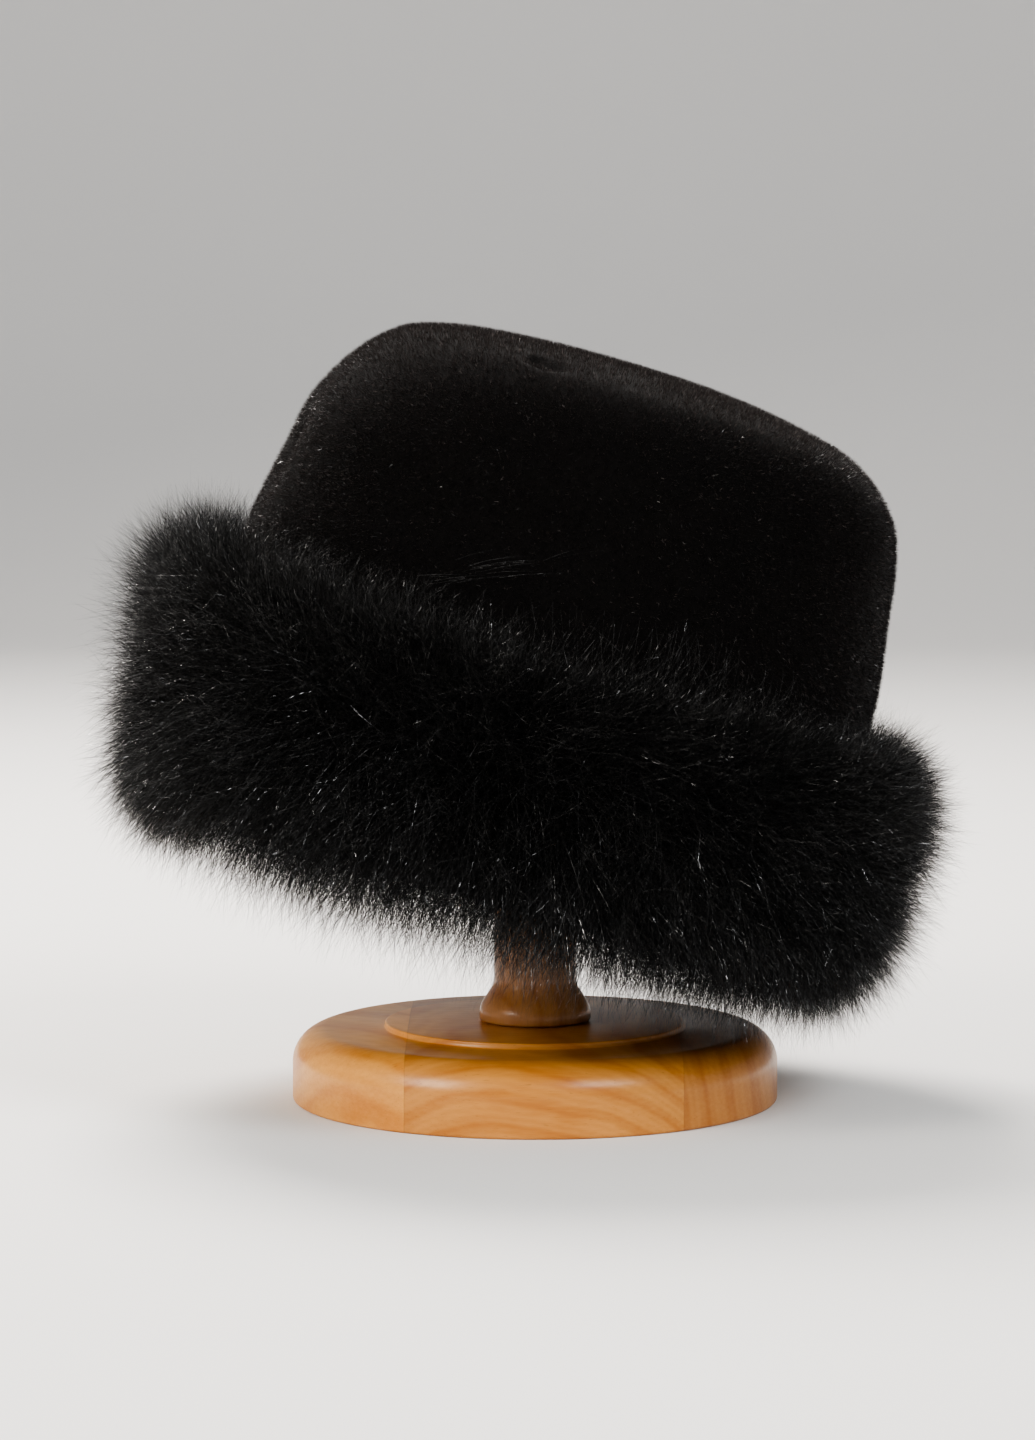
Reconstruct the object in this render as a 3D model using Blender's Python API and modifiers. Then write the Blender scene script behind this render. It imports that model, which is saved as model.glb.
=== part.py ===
"""A black plush hat with a deep fur cuff, resting at a lean on a turned wooden stand.

Lengths are in metres and +Z is up. The origin is the centre of the stand's underside.
The hat's front is at +X, which is also its low side.
"""

import math
import random

import bmesh
import bpy
from mathutils import Vector
from mathutils.bvhtree import BVHTree

# Gap kept between pieces that touch.
SEAT_GAP = 0.0003

# Stand foot: a glued wooden disc with a rounded upper edge and a low raised middle.
BASE_RADIUS = 0.080
BASE_SIDE_HEIGHT = 0.0125
BASE_ROUNDING = 0.0110
BASE_FOOT_EASE = 0.0012
PLATEAU_RADIUS = 0.0495
PLATEAU_RISE = 0.0020
PLATEAU_EASE = 0.0005

# Stand neck: a turned post with a flared foot, a straight shaft and a flared top.
NECK_FOOT_RADIUS = 0.0184
NECK_FOOT_EASE = 0.0008
NECK_FOOT_HEIGHT = 0.0025
NECK_SHAFT_RADIUS = 0.0135
NECK_FLARE_HEIGHT = 0.0115
NECK_TOP_RADIUS = 0.0190
NECK_TOP_FLARE_HEIGHT = 0.0300
NECK_LENGTH = 0.1465

# Stand dome: the hidden half ball that carries the hat.
DOME_RADIUS = 0.0600
DOME_BAND_HEIGHT = 0.0060
DOME_EASE = 0.0040

# Hat as a whole: how far it leans, and where its rim's centre is along X.
HAT_LEAN = math.radians(16.5)
HAT_RIM_X = -0.0162
HAT_HALF_LENGTH = 0.1074
HAT_HALF_WIDTH = 0.0920
OVAL_FULLNESS = 2.15

# Crown: plush cloth with its wadding and lining, one padded wall.
CROWN_HEIGHT = 0.1734
CROWN_WALL = 0.0050
CROWN_COLUMNS = ("up", "front", "back", "side")
# Up is a share of CROWN_HEIGHT. Front and back are shares of HAT_HALF_LENGTH, and side of HAT_HALF_WIDTH.
CROWN_SECTIONS = (
    (0.000, 0.965, 0.965, 0.965),
    (0.518, 0.994, 0.998, 0.996),
    (0.669, 0.957, 0.955, 0.956),
    (0.783, 0.926, 0.914, 0.920),
    (0.845, 0.890, 0.862, 0.875),
    (0.888, 0.834, 0.812, 0.822),
    (0.921, 0.768, 0.758, 0.760),
    (0.945, 0.690, 0.704, 0.694),
    (0.964, 0.570, 0.617, 0.590),
    (0.978, 0.445, 0.510, 0.470),
    (0.991, 0.250, 0.290, 0.270),
)
DENT_COLUMNS = ("around", "up", "wide", "tall", "deep")
# Around and wide are in degrees from the front, up and tall are shares of CROWN_HEIGHT, and deep
# is in metres.
CROWN_DENTS = (
    (255.0, 0.640, 26.0, 0.075, 0.0022),
    (305.0, 0.760, 20.0, 0.080, 0.0012),
    (75.0, 0.700, 30.0, 0.090, 0.0015),
)

# Fur cuff: a backing that bulges from the crown's wall, with a lock of fur on each of its fields.
# Lock values but LOCK_LENGTH are shares: of its length, of its field's width, and of its way out.
CUFF_BULGE = 0.0215
CUFF_HEIGHT = 0.0800
LOCK_LENGTH = 0.0125
LOCK_WAIST_AT = 0.45
LOCK_WAIST_WIDTH = 0.70
LOCK_SPREAD = 0.30
LOCK_DROOP = 0.10
LOCK_SHORTEST = 0.80
LOCK_LONGEST = 1.10
CUFF_COLUMNS = ("out", "up", "fur")
# Out is a share of CUFF_BULGE, up of CUFF_HEIGHT above the rim, and fur of LOCK_LENGTH on the
# field that starts there.
CUFF_SECTION = (
    (0.00, -0.020, 0.45),
    (0.30, -0.070, 0.60),
    (0.72, -0.045, 0.80),
    (0.95, 0.090, 1.00),
    (1.00, 0.270, 1.00),
    (1.00, 0.460, 1.00),
    (0.98, 0.660, 1.00),
    (0.90, 0.860, 1.00),
    (0.60, 1.000, 0.75),
    (0.00, 1.010, 0.00),
)

# How finely each piece is divided.
BASE_STEPS = 64
NECK_STEPS = 36
DOME_STEPS = 28
CURVE_STEPS = 6
HAT_STEPS = 46
LOCK_SEED = 5

# Heights that follow from the sizes above.
BASE_RING_TOP = BASE_SIDE_HEIGHT + BASE_ROUNDING
BASE_TOP = BASE_RING_TOP + PLATEAU_RISE
NECK_FOOT = BASE_TOP + SEAT_GAP
NECK_TOP = NECK_FOOT + NECK_LENGTH
DOME_FOOT = NECK_TOP + SEAT_GAP
DOME_CENTRE = DOME_FOOT + DOME_EASE + DOME_BAND_HEIGHT
DOME_TOP = DOME_CENTRE + DOME_RADIUS


def clear_scene():
    """Removes every object, so that the model starts from nothing."""
    for thing in list(bpy.data.objects):
        bpy.data.objects.remove(thing, do_unlink=True)


def make_collection(name):
    """A collection of this name, linked to the scene."""
    collection = bpy.data.collections.new(name)
    bpy.context.scene.collection.children.link(collection)
    return collection


def make_material(name, colour, roughness):
    """A plain finish for one kind of surface."""
    material = bpy.data.materials.new(name)
    material.use_nodes = True
    shader = material.node_tree.nodes["Principled BSDF"]
    shader.inputs["Base Color"].default_value = (*colour, 1.0)
    shader.inputs["Roughness"].default_value = roughness
    shader.inputs["Metallic"].default_value = 0.0
    material.diffuse_color = (*colour, 1.0)
    return material


def arc(centre, radii, start, end, steps=CURVE_STEPS):
    """Points on an ellipse's arc in the profile plane, from one angle to another, in degrees."""
    angles = [math.radians(start + (end - start) * i / steps) for i in range(steps + 1)]
    return [
        (centre[0] + radii[0] * math.cos(a), centre[1] + radii[1] * math.sin(a))
        for a in angles
    ]


def flare(low, high, steps=CURVE_STEPS):
    """Points of a smooth S curve from one (radius, height) to another, upright at both ends."""
    points = []
    for i in range(steps + 1):
        share = i / steps
        ease = 0.5 - 0.5 * math.cos(math.pi * share)
        points.append((low[0] + (high[0] - low[0]) * ease, low[1] + (high[1] - low[1]) * share))
    return points


def make_turned(name, profile, steps, material, collection):
    """A turned piece: the profile, listed from its top on the axis down its outer side, spun round Z."""
    mesh = bpy.data.meshes.new(name)
    points = [(radius, 0.0, height) for radius, height in profile]
    edges = [(i, i + 1) for i in range(len(points) - 1)]
    mesh.from_pydata(points, edges, [])
    piece = bpy.data.objects.new(name, mesh)
    collection.objects.link(piece)
    screw = piece.modifiers.new("turn", "SCREW")
    screw.axis = "Z"
    screw.steps = steps
    screw.render_steps = steps
    screw.use_merge_vertices = True
    screw.merge_threshold = 0.00001
    screw.use_smooth_shade = True
    mesh.materials.append(material)
    return piece


def make_base(material, collection):
    """The stand's foot, from the raised middle down to the underside."""
    rounding_centre = (BASE_RADIUS - BASE_ROUNDING, BASE_SIDE_HEIGHT)
    profile = [
        (0.0, BASE_TOP),
        (PLATEAU_RADIUS - PLATEAU_EASE, BASE_TOP),
        (PLATEAU_RADIUS, BASE_TOP - PLATEAU_EASE),
        (PLATEAU_RADIUS, BASE_RING_TOP),
    ]
    profile += arc(rounding_centre, (BASE_ROUNDING, BASE_ROUNDING), 90, 0)
    profile += [
        (BASE_RADIUS, BASE_FOOT_EASE),
        (BASE_RADIUS - BASE_FOOT_EASE, 0.0),
        (0.0, 0.0),
    ]
    return make_turned("stand_base", profile, BASE_STEPS, material, collection)


def make_neck(material, collection):
    """The stand's post, standing on the raised middle."""
    foot_flare = flare(
        (NECK_FOOT_RADIUS, NECK_FOOT + NECK_FOOT_HEIGHT),
        (NECK_SHAFT_RADIUS, NECK_FOOT + NECK_FOOT_HEIGHT + NECK_FLARE_HEIGHT),
    )
    top_flare = flare(
        (NECK_SHAFT_RADIUS, NECK_TOP - NECK_TOP_FLARE_HEIGHT),
        (NECK_TOP_RADIUS, NECK_TOP),
    )
    profile = [(0.0, NECK_TOP)] + top_flare[::-1] + foot_flare[::-1]
    profile += [
        (NECK_FOOT_RADIUS, NECK_FOOT + NECK_FOOT_EASE),
        (NECK_FOOT_RADIUS - NECK_FOOT_EASE, NECK_FOOT),
        (0.0, NECK_FOOT),
    ]
    return make_turned("stand_neck", profile, NECK_STEPS, material, collection)


def make_dome(material, collection):
    """The hidden dome on the post, a half ball on a short band."""
    band_foot = DOME_FOOT + DOME_EASE
    profile = arc((0.0, DOME_CENTRE), (DOME_RADIUS, DOME_RADIUS), 90, 0, 2 * CURVE_STEPS)
    profile[0] = (0.0, DOME_TOP)
    profile += [
        (DOME_RADIUS, band_foot),
        (DOME_RADIUS - DOME_EASE, DOME_FOOT),
        (0.0, DOME_FOOT),
    ]
    return make_turned("stand_dome", profile, DOME_STEPS, material, collection)


def oval_point(front, back, side, angle):
    """A point of an egg-shaped oval: a superellipse whose front and back reaches may differ."""
    power = 2.0 / OVAL_FULLNESS
    along, across = math.cos(angle), math.sin(angle)
    reach = front if along >= 0 else back
    x = reach * math.copysign(abs(along) ** power, along)
    y = side * math.copysign(abs(across) ** power, across)
    return Vector((x, y, 0.0))


def outward(point):
    """The level direction that points straight out of the oval at one of its points."""
    slope = OVAL_FULLNESS - 1.0
    x = math.copysign(abs(point.x / HAT_HALF_LENGTH) ** slope, point.x) / HAT_HALF_LENGTH
    y = math.copysign(abs(point.y / HAT_HALF_WIDTH) ** slope, point.y) / HAT_HALF_WIDTH
    return Vector((x, y, 0.0)).normalized()


def dent_depth(angle, up):
    """How far the crown's cloth sinks at one place, summed over the table of dents."""
    depth = 0.0
    for row in CROWN_DENTS:
        dent = dict(zip(DENT_COLUMNS, row))
        turn = math.degrees(angle) - dent["around"]
        turn = (turn + 180.0) % 360.0 - 180.0
        rise = up - dent["up"]
        depth += dent["deep"] * math.exp(-((turn / dent["wide"]) ** 2) - (rise / dent["tall"]) ** 2)
    return depth


def crown_ring(section):
    """One ring of the crown's outer surface, in the hat's own frame."""
    ring = []
    for i in range(HAT_STEPS):
        angle = 2.0 * math.pi * i / HAT_STEPS
        point = oval_point(
            section["front"] * HAT_HALF_LENGTH,
            section["back"] * HAT_HALF_LENGTH,
            section["side"] * HAT_HALF_WIDTH,
            angle,
        )
        if section["up"] > 0.0:
            point -= outward(point) * dent_depth(angle, section["up"])
        point.z = section["up"] * CROWN_HEIGHT
        ring.append(point)
    return ring


def wall_point(low, high, step, height):
    """A point of the crown's straight lower wall, between its two lowest rings."""
    share = max(0.0, height) / high[step].z
    point = low[step].lerp(high[step], share)
    point.z = height
    return point


def bridge(mesh, low, high):
    """Quads between two rings of as many points, facing away from the rings' middle."""
    count = len(low)
    faces = []
    for i in range(count):
        j = (i + 1) % count
        faces.append(mesh.faces.new((low[i], low[j], high[j], high[i])))
    return faces


def make_piece(name, mesh, material, collection, parent):
    """An object from a finished bmesh, carried by the hat's lean."""
    data = bpy.data.meshes.new(name)
    mesh.to_mesh(data)
    mesh.free()
    data.materials.append(material)
    data.shade_smooth()
    piece = bpy.data.objects.new(name, data)
    collection.objects.link(piece)
    piece.parent = parent
    return piece


def make_crown(material, collection, parent):
    """The crown: rings from the rim to the top, closed by a fan, then thickened inwards."""
    mesh = bmesh.new()
    sections = [dict(zip(CROWN_COLUMNS, row)) for row in CROWN_SECTIONS]
    rings = [[mesh.verts.new(p) for p in crown_ring(s)] for s in sections]
    for low, high in zip(rings, rings[1:]):
        bridge(mesh, low, high)
    top = mesh.verts.new((0.0, 0.0, CROWN_HEIGHT))
    last = rings[-1]
    for i in range(HAT_STEPS):
        mesh.faces.new((last[i], last[(i + 1) % HAT_STEPS], top))
    piece = make_piece("crown", mesh, material, collection, parent)
    wall = piece.modifiers.new("wall", "SOLIDIFY")
    wall.thickness = CROWN_WALL
    wall.offset = -1.0
    wall.use_even_offset = True
    return piece


def cuff_ring(row, low, high):
    """One ring of the cuff's backing, set off from the crown's wall."""
    ring = []
    for i in range(HAT_STEPS):
        point = wall_point(low, high, i, row["up"] * CUFF_HEIGHT)
        ring.append(point + outward(point) * (SEAT_GAP + row["out"] * CUFF_BULGE))
    return ring


def grow_lock(mesh, field, length, chance):
    """Raises one field of the backing into a lock of fur: a waist, then a tip that leans a little."""
    normal = field.normal.copy()
    aside = Vector((-normal.y, normal.x, 0.0))
    lean = aside * chance.uniform(-LOCK_SPREAD, LOCK_SPREAD)
    lean += Vector((0.0, 0.0, -1.0)) * chance.uniform(0.0, LOCK_DROOP)
    way = (normal + lean) * length * chance.uniform(LOCK_SHORTEST, LOCK_LONGEST)
    raised = bmesh.ops.extrude_discrete_faces(mesh, faces=[field])["faces"][0]
    middle = raised.calc_center_median()
    for corner in raised.verts:
        corner.co = middle + (corner.co - middle) * LOCK_WAIST_WIDTH + way * LOCK_WAIST_AT
    tip = bmesh.ops.poke(mesh, faces=[raised])["verts"][0]
    tip.co = middle + way


def make_cuff(material, collection, parent):
    """The fur cuff: a closed ring of backing, each outer field of which carries a lock."""
    mesh = bmesh.new()
    sections = [dict(zip(CROWN_COLUMNS, row)) for row in CROWN_SECTIONS[:2]]
    low, high = (crown_ring(s) for s in sections)
    rows = [dict(zip(CUFF_COLUMNS, row)) for row in CUFF_SECTION]
    rings = [[mesh.verts.new(p) for p in cuff_ring(row, low, high)] for row in rows]
    fields = []
    for row, first, second in zip(rows, rings, rings[1:]):
        fields += [(field, row["fur"]) for field in bridge(mesh, first, second)]
    bridge(mesh, rings[-1], rings[0])
    mesh.normal_update()
    chance = random.Random(LOCK_SEED)
    for field, share in fields:
        grow_lock(mesh, field, share * LOCK_LENGTH, chance)
    return make_piece("fur_cuff", mesh, material, collection, parent)


def evaluated_mesh(piece):
    """The piece's corners and faces in world space, with its modifiers."""
    bpy.context.view_layer.update()
    graph = bpy.context.evaluated_depsgraph_get()
    shown = piece.evaluated_get(graph)
    mesh = shown.to_mesh()
    corners = [shown.matrix_world @ v.co for v in mesh.vertices]
    faces = [tuple(p.vertices) for p in mesh.polygons]
    shown.to_mesh_clear()
    return corners, faces


def rest_on(carrier, hat, shell):
    """Lowers the hat until its shell lies one gap above the dome that carries it."""
    above = BVHTree.FromPolygons(*evaluated_mesh(shell))
    up = Vector((0.0, 0.0, 1.0))
    hits = [above.ray_cast(corner, up)[3] for corner in evaluated_mesh(carrier)[0]]
    hat.location.z -= min(h for h in hits if h is not None) - SEAT_GAP


def main():
    clear_scene()
    collection = make_collection("fur_hat_on_stand")
    wood = make_material("varnished_wood", (0.56, 0.30, 0.11), 0.35)
    plain_wood = make_material("plain_wood", (0.50, 0.30, 0.14), 0.60)
    plush = make_material("black_plush", (0.012, 0.012, 0.013), 0.85)
    fur = make_material("black_fur", (0.010, 0.010, 0.011), 0.70)

    make_base(wood, collection)
    make_neck(wood, collection)
    dome = make_dome(plain_wood, collection)

    hat = bpy.data.objects.new("hat_lean", None)
    collection.objects.link(hat)
    hat.location = (HAT_RIM_X, 0.0, DOME_TOP)
    hat.rotation_euler = (0.0, HAT_LEAN, 0.0)
    crown = make_crown(plush, collection, hat)
    make_cuff(fur, collection, hat)
    rest_on(dome, hat, crown)


main()
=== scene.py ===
"""A black plush hat with a deep cuff of long fur, leaning on a turned wooden stand.

Every length is in metres. +Z is up, -Y faces the viewer and the hat's low end is at +X. Shapes
are worked out as whole arrays of points from a few sizes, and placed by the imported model's boxes.
"""

import math

import bpy
import numpy as np
from bpy.props import FloatProperty, FloatVectorProperty, IntProperty, PointerProperty
from bpy.types import Operator, Panel, PropertyGroup
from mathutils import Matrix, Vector


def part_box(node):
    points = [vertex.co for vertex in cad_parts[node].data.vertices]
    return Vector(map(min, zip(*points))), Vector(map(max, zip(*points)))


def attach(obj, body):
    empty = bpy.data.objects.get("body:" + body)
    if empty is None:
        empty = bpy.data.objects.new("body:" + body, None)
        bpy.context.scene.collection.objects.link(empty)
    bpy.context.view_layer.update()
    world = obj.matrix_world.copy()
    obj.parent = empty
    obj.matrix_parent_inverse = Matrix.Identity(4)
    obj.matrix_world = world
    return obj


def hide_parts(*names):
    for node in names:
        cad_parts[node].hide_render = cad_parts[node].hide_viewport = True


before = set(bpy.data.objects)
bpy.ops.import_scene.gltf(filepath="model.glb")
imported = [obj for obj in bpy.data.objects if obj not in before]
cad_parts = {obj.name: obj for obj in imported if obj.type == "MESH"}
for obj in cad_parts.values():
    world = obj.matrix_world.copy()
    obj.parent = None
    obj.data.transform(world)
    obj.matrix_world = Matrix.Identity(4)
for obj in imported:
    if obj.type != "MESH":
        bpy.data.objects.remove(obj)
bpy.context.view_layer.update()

bl_info = {
    "name": "Fur-cuffed hat on a stand",
    "version": (1, 0, 0),
    "blender": (4, 5, 0),
    "location": "View3D > Sidebar > Fur hat",
    "description": "Builds a plush hat with a long fur cuff on a turned wooden stand",
    "category": "Object",
}

BODY = "root"
BASE_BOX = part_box("stand_base")
NECK_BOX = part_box("stand_neck")
CROWN_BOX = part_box("crown")

# Hat as a whole, in its own frame: the rim's centre is the origin and +Z is the hat's axis.
HAT_LEAN = math.radians(16.5)
HAT_RIM_X = -0.0162
HAT_HALF_LENGTH = 0.1074
HAT_HALF_WIDTH = 0.0920
OVAL_FULLNESS = 2.15

# Crown: rows of up, right, left and side. Up is a share of CROWN_HEIGHT, right and left reach
# towards +X and -X as shares of the half length, and side is a share of the half width.
CROWN_HEIGHT = 0.1734
CROWN_WALL = 0.0050
CROWN_SECTIONS = (
    (0.000, 0.965, 0.965, 0.965),
    (0.260, 0.979, 0.981, 0.980),
    (0.518, 0.994, 0.998, 0.996),
    (0.669, 0.957, 0.955, 0.956),
    (0.783, 0.926, 0.914, 0.920),
    (0.845, 0.890, 0.862, 0.875),
    (0.888, 0.834, 0.812, 0.822),
    (0.921, 0.768, 0.758, 0.760),
    (0.945, 0.690, 0.704, 0.694),
    (0.964, 0.570, 0.617, 0.590),
    (0.978, 0.445, 0.510, 0.470),
    (0.991, 0.250, 0.290, 0.270),
    (0.996, 0.000, 0.000, 0.000),
)
# Soft hollows: where round the hat in degrees from +X towards +Y, how high as a share of
# CROWN_HEIGHT, how wide in degrees, how tall as a share, and how deep in metres.
CROWN_DENTS = (
    (255.0, 0.640, 26.0, 0.075, 0.0022),
    (305.0, 0.760, 20.0, 0.080, 0.0012),
    (75.0, 0.700, 30.0, 0.090, 0.0015),
    (191.0, 0.670, 4.5, 0.120, 0.0028),
)

# A short parting in the pile near the top's edge: its two ends in the hat's own frame.
PARTING_ENDS = ((-0.0322, -0.0527, 0.1661), (-0.0257, -0.0560, 0.1657))
PARTING_WIDTH = 0.0025
PARTING_DEPTH = 0.0060
PARTING_RAGGEDNESS = 0.35
PARTING_RAG_SIZE = 0.005

# Cuff: a dense body stands off the crown's wall, and the tips reach a rounder outer form.
CUFF_LOW = 0.0020
CUFF_HIGH = 0.0740
CUFF_BODY_BULGE = 0.0165
CUFF_TIP_BULGE = 0.0375
CUFF_TIP_LOW = -0.0262
CUFF_TIP_HIGH = 0.0925
# How square the cuff's section is: powers of the tilt's cosine, outwards, and of its sine, up.
CUFF_OUT_POWER = 0.55
CUFF_UP_POWER = 0.85
# The body's soft lumps, and how far it stands off the crown's wall.
CUFF_LUMP_SIZE = 0.022
CUFF_LUMP_DEPTH = 0.0010
CUFF_GAP = 0.0004
# The fur's roots stand on a slimmer copy of the body, with this bulge and these edges.
ROOT_BULGE = CUFF_BODY_BULGE * 0.6
ROOT_LOW = CUFF_LOW + 0.006
ROOT_HIGH = CUFF_HIGH - 0.007
# Shares by which the cuff is fuller at the hat's low end and at its high end, and by which the
# high end is fuller above its middle than below. Towards the low end its upper tips sink and its
# lower tips rise by these slopes, and the lower edge bows down on the long sides by this much.
CUFF_LOW_END_FULLNESS = 0.20
CUFF_HIGH_END_FULLNESS = 0.07
CUFF_HIGH_END_SKEW = 0.30
CUFF_UPPER_SLOPE = -0.045
CUFF_LOWER_SLOPE = 0.030
CUFF_LOWER_BOW = 0.0028

# Fur in layers: how many hairs and how many locks, their reach as a share of the way to the outer
# form, a hair's width in metres, and how far it strays from its lock as a share of its length.
FUR_LAYERS = (
    ("under", 60000, 9000, 0.80, 0.00024, 0.32),
    ("low", 32000, 8000, 0.92, 0.00016, 0.34),
    ("middle", 32000, 8000, 0.97, 0.00014, 0.46),
    ("outer", 32000, 7000, 1.00, 0.00013, 0.62),
)
# How a lock strays in angle round the cuff, in tilt and in reach: the size, seed and height of
# slow waves, then the spread of chance.
LOCK_TURN = (0.060, 21, 0.040, 0.050)
LOCK_RISE = (0.045, 22, 0.08, 0.12)
LOCK_REACH = (0.028, 23, 0.05, 0.05)
# Spread of a lock's roots, in angle and in tilt, and how much its hairs curl at their start.
ROOT_TURN = 0.050
ROOT_TILT = 0.14
HAIR_CURL = 0.42
# Mean and spread of a hair's reach against its layer's, its limits, and those of its width.
HAIR_REACH = (0.96, 0.12)
REACH_LIMITS = (0.5, 1.045)
HAIR_WIDTHS = (0.7, 1.2)
# Tilts nearest to the cuff's edges at which roots and tips stand and normals are taken.
ROOT_TILT_MOST = 1.52
TIP_TILT_MOST = 1.56
NORMAL_TILT_MOST = 1.45
# Spine places and tapers of a long hair and of a short one.
LONG_HAIR = ((0.0, 0.38, 0.72, 1.0), (1.0, 0.85, 0.50))
SHORT_HAIR = ((0.0, 0.60, 1.0), (1.0, 0.70))

# Wisps of fur that lie up over the crown: where they stand, how far they turn and how
# wide they are in degrees, where they start and end as shares of CROWN_HEIGHT, how loosely they
# lie against the most, and how many hairs.
WISPS = (
    (246.0, 1.0, 2.0, 0.500, 0.550, 0.7, 34),
    (249.0, 9.0, 2.4, 0.535, 0.580, 0.5, 14),
    (254.5, 9.0, 2.2, 0.570, 0.616, 0.4, 20),
    (265.0, 7.0, 1.8, 0.625, 0.665, 0.4, 5),
    (275.0, 0.0, 6.0, 0.500, 0.575, 1.0, 90),
    (289.0, 0.0, 4.0, 0.500, 0.600, 1.0, 70),
    (303.0, 1.0, 7.0, 0.490, 0.560, 1.0, 80),
    (222.0, 2.0, 8.0, 0.490, 0.550, 1.0, 110),
)
WISP_WIDTH = 0.00011

# How finely the crown's cloth and the cuff's body are divided: round, and along their sections.
CROWN_GRID = (216, 84)
CUFF_GRID = (220, 30)
# Shares of the crown's section between which its normals are taken.
CROWN_NORMALS = (0.002, 0.997)

# Share of the pile's length that stands in the cloth, and how high on the crown it starts.
PILE_ROOTED = 0.5
PILE_FROM = 0.38
# How it turns aside from straight down, with a finer ripple, and lies over from upright, both in
# radians: the size, seed and height of slow waves, then the spread of chance.
PILE_SWIRL = (0.070, 5, 0.4, 1.1)
PILE_RIPPLE = (0.012, 6, 0.15)
PILE_LAY_MEAN = 0.48
PILE_LAY = (0.035, 7, 0.08, 0.30)
PILE_LENGTHS = (0.75, 1.2)
# The flat top starts at this share of the height and is full after the next. The pile lies over
# less and is painted lighter there, a painted sheen of light on the top, and it is shorter in the
# parting, by these shares.
TOP_FROM = 0.90
TOP_OVER = 0.06
TOP_UPRIGHT = 0.55
TOP_PAINTED_SHEEN = 0.9
PARTING_SHORTER = 0.6

# How hair shines: the glint is a painted glint, how much lighter a fleck's colour is painted than
# the hair's, shine is the plain gloss, coat is the roughness of the flecks' own gloss, through is
# the share of light let through.
# FLECK_GLOSS is the strength of that gloss.
PILE_LOOK = {"painted_glint": 130.0, "roughness": 0.32, "shine": 0.28, "coat": 0.25, "through": 0.25}
FUR_LOOK = {"painted_glint": 26.0, "roughness": 0.30, "shine": 0.31, "coat": 0.20, "through": 0.0}
FLECK_GLOSS = 9.0
# How strands' tones spread from dark to light: the two powers of a beta draw.
PILE_TONES = (0.30, 2.2)
FUR_TONES = (0.8, 2.5)
WISP_TONES = (1.2, 4.5)

# Stand, turned in one profile for the foot and one for the neck.
BASE_RADIUS = BASE_BOX[1][0]
BASE_TOP = BASE_BOX[1][2]
BASE_ROUNDING = 0.0110
BASE_FOOT_EASE = 0.0012
PLATEAU_RADIUS = 0.0495
PLATEAU_RISE = 0.0020
PLATEAU_EASE = 0.0006
PLATEAU_FOOT_OUT = 0.0006
PLATEAU_FOOT_UP = 0.0003
NECK_FOOT = NECK_BOX[0][2]
NECK_TOP = NECK_BOX[1][2]
NECK_TOP_RADIUS = NECK_BOX[1][0]
NECK_FOOT_RADIUS = 0.0184
NECK_FOOT_EASE = 0.0008
NECK_FOOT_HEIGHT = 0.0025
NECK_SHAFT_RADIUS = 0.0135
NECK_FLARE_HEIGHT = 0.0115
NECK_TOP_FLARE_HEIGHT = 0.0300

# Joints between the blocks of wood that the foot is glued from, along X, and half the width of
# their dark lines. The tones multiply the wood's colour.
LEFT_JOINT = -0.0415
RIGHT_JOINT = 0.0468
JOINT_HALF_WIDTH = 0.00022
LEFT_TONE = (1.16, 1.16, 1.04)
MIDDLE_TONE = (0.91, 0.87, 0.79)
# The right block's own darker wood, darkened further as painted shade on the foot's right side.
RIGHT_TONE_AND_SHADE = (0.76, 0.70, 0.66)
# Painted light: the raised middle is made lighter against the shade the hat casts on it.
RAISED_PAINTED_LIGHT = (1.28, 1.30, 1.30)
JOINT_TONE = (0.42, 0.34, 0.28)
POST_TONE = (0.93, 0.93, 1.15)

# Camera: 1035 by 1440 picture, with the foot's centre a little right of the middle.
CAMERA_PLACE = (-0.00579, -1.4000, 0.2440)
CAMERA_PITCH = math.radians(4.86)
CAMERA_LENS = 106.95
CAMERA_FILM = 36.0

# Lights: where each stands and aims, its side's length, its power against the key's, its colour.
LIGHTS = (
    ("key", (-1.40, -1.05, 1.00), (0.0, 0.0, 0.12), 0.75, 1.00, (1.0, 0.96, 0.90)),
    ("fill", (1.15, -1.60, 1.75), (0.0, 0.0, 0.12), 1.00, 1.75, (0.98, 0.99, 1.0)),
    ("top", (-0.40, 0.90, 1.50), (0.0, 0.0, 0.20), 0.80, 2.05, (1.0, 0.95, 0.91)),
)
AIR_COLOUR = (0.93, 0.95, 1.0)

# Floor: it runs from SWEEP_NEAR to SWEEP_FAR along Y, then bends up to SWEEP_TOP.
SWEEP_NEAR = -3.5
SWEEP_FAR = 2.2
SWEEP_BEND = 1.2
SWEEP_TOP = 4.0
SWEEP_HALF_WIDTH = 4.0


# Shapes

def spline(knots, rows, at):
    """Rows between the given ones: on each stretch the cubic that meets both its rows,
    with the slopes that their neighbours give them."""
    slopes = np.gradient(rows, knots, axis=0)
    low = np.clip(np.searchsorted(knots, at, side="right") - 1, 0, len(knots) - 2)
    span = (knots[low + 1] - knots[low])[:, None]
    t = ((at - knots[low])[:, None]) / span
    return (
        (1 + 2 * t) * (1 - t) ** 2 * rows[low]
        + t * (1 - t) ** 2 * span * slopes[low]
        + t * t * (3 - 2 * t) * rows[low + 1]
        + t * t * (t - 1) * span * slopes[low + 1]
    )


def unit(vectors):
    """The same directions with length one."""
    return vectors / (np.linalg.norm(vectors, axis=-1, keepdims=True) + 1e-12)


def slow_waves(points, size, seed, count=7):
    """A smooth uneven field from -1 to 1: plain sine waves of about one size, each in a
    direction of its own, added up."""
    chance = np.random.default_rng(seed)
    ways = unit(chance.normal(size=(count, 3))) * math.tau / size
    ways *= chance.uniform(0.6, 1.5, (count, 1))
    phases = chance.uniform(0, math.tau, count)
    return np.sin(points @ ways.T + phases).sum(-1) / math.sqrt(count) / 1.4


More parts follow.
